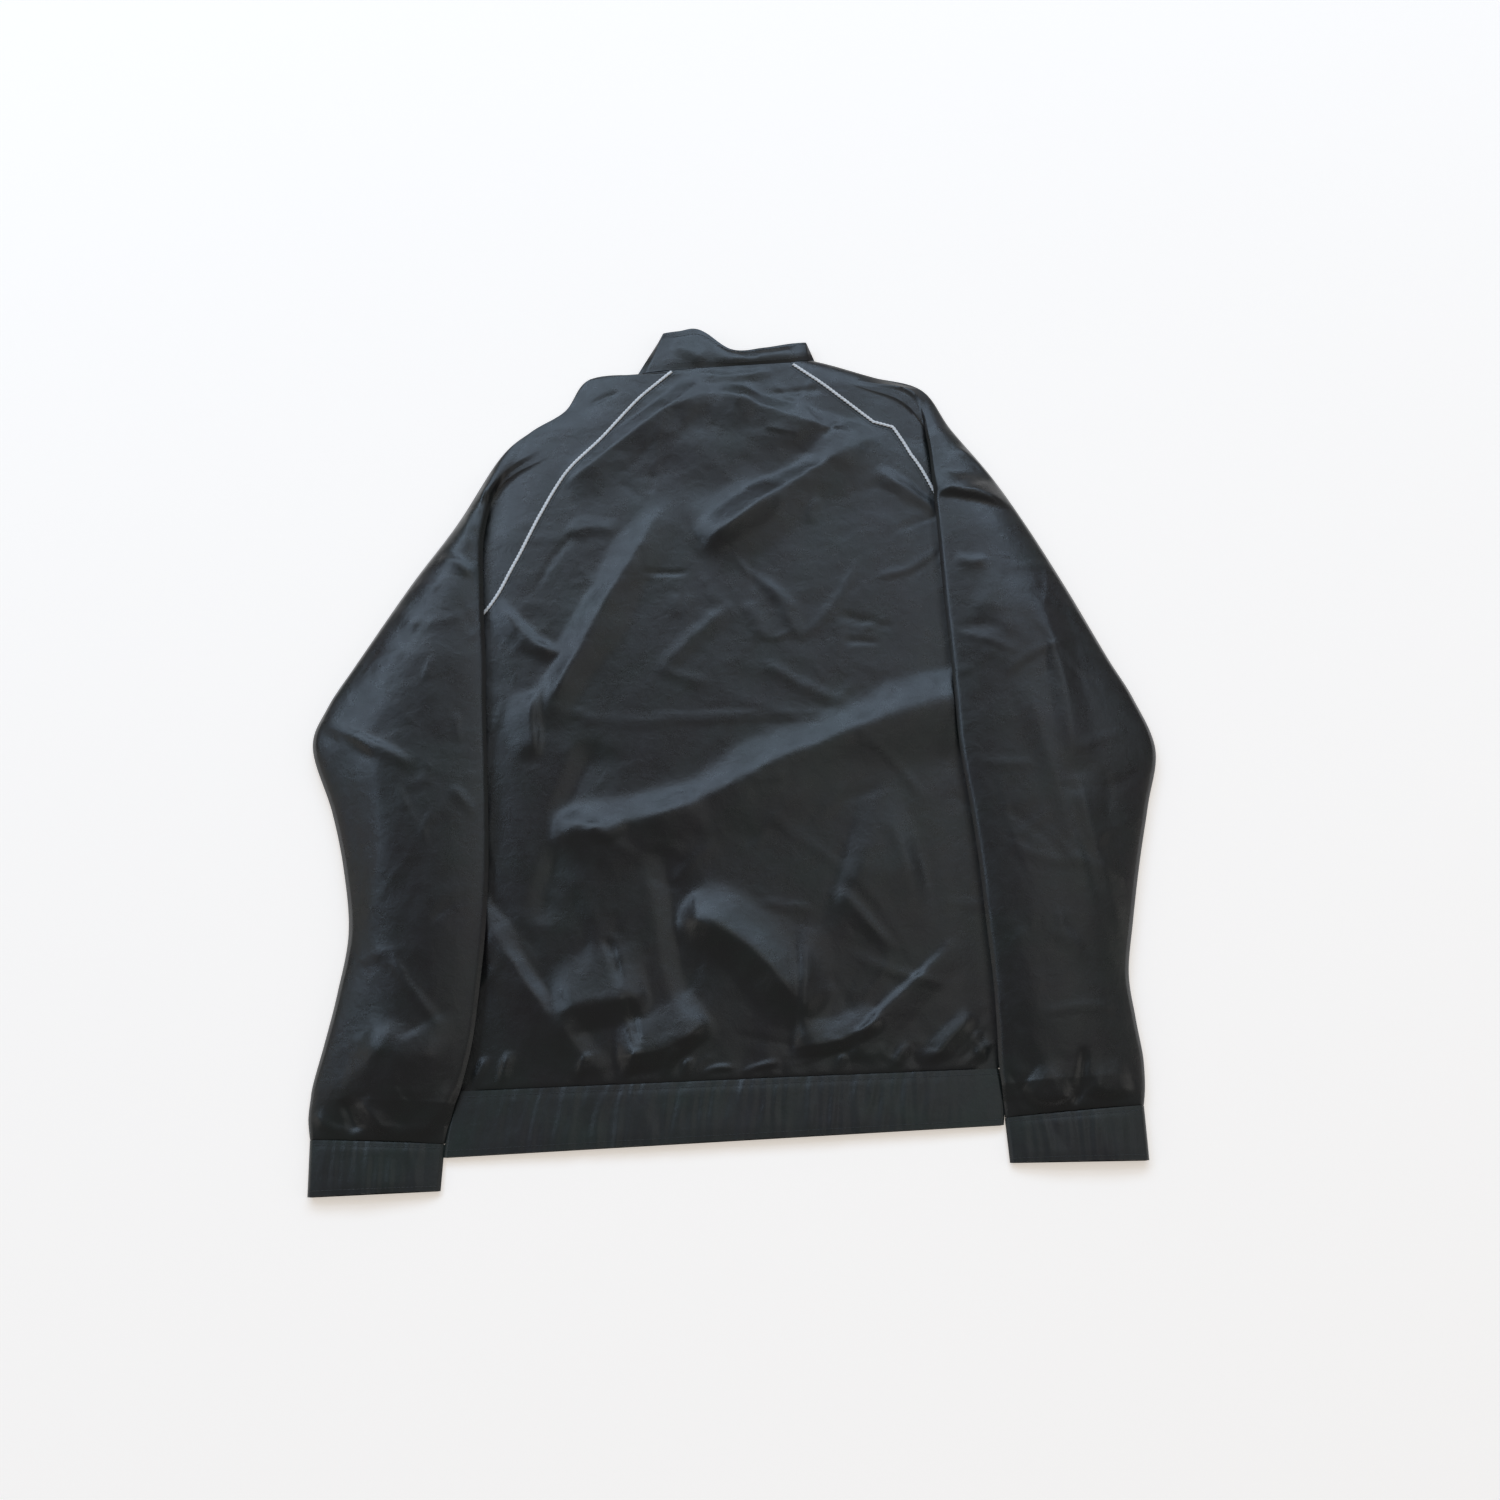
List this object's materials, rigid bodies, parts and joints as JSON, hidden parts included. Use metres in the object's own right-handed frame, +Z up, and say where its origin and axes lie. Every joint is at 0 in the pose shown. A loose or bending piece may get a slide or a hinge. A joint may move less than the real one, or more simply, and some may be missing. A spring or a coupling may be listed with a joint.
{
  "type": "half-zip windbreaker",
  "caption": "Nylon half-zip windbreaker laid flat, back up, with raglan sleeves folded down its sides, stand collar, gathered hem and cuffs.",
  "frame": {"origin": "on the surface the garment lies on, under the middle of its bounding box", "axes": "+Z up from the surface, +Y from the hem towards the collar, +X to the right in the view of the garment's back"},
  "size_m": [0.76, 0.8476, 0.029],
  "materials": {
    "nylon": "thin charcoal nylon with a soft sheen",
    "elastic": "charcoal nylon gathered over elastic",
    "piping": "pale reflective piping",
    "tape": "woven zip tape with a closed coil",
    "slider": "satin enamel on die-cast metal"
  },
  "bodies": {
    "garment": {"back_panel": "nylon", "front_panel": "nylon", "sleeve_left": "nylon", "sleeve_right": "nylon", "collar": "nylon", "hem_band": "elastic", "cuff_left": "elastic", "cuff_right": "elastic", "piping_left": "piping", "piping_right": "piping", "zip_tape": "tape", "zip_slider": "slider"},
    "pull_tab": {"zip_pull_tab": "slider"}
  },
  "joints": [
    {"name": "pull_tab_swing", "type": "hinge", "parent": "garment", "child": "pull_tab", "pos_m": [-0.00389, 0.38514, 0.00195], "axis": [1, 0, 0], "range_deg": [0, 170]}
  ]
}
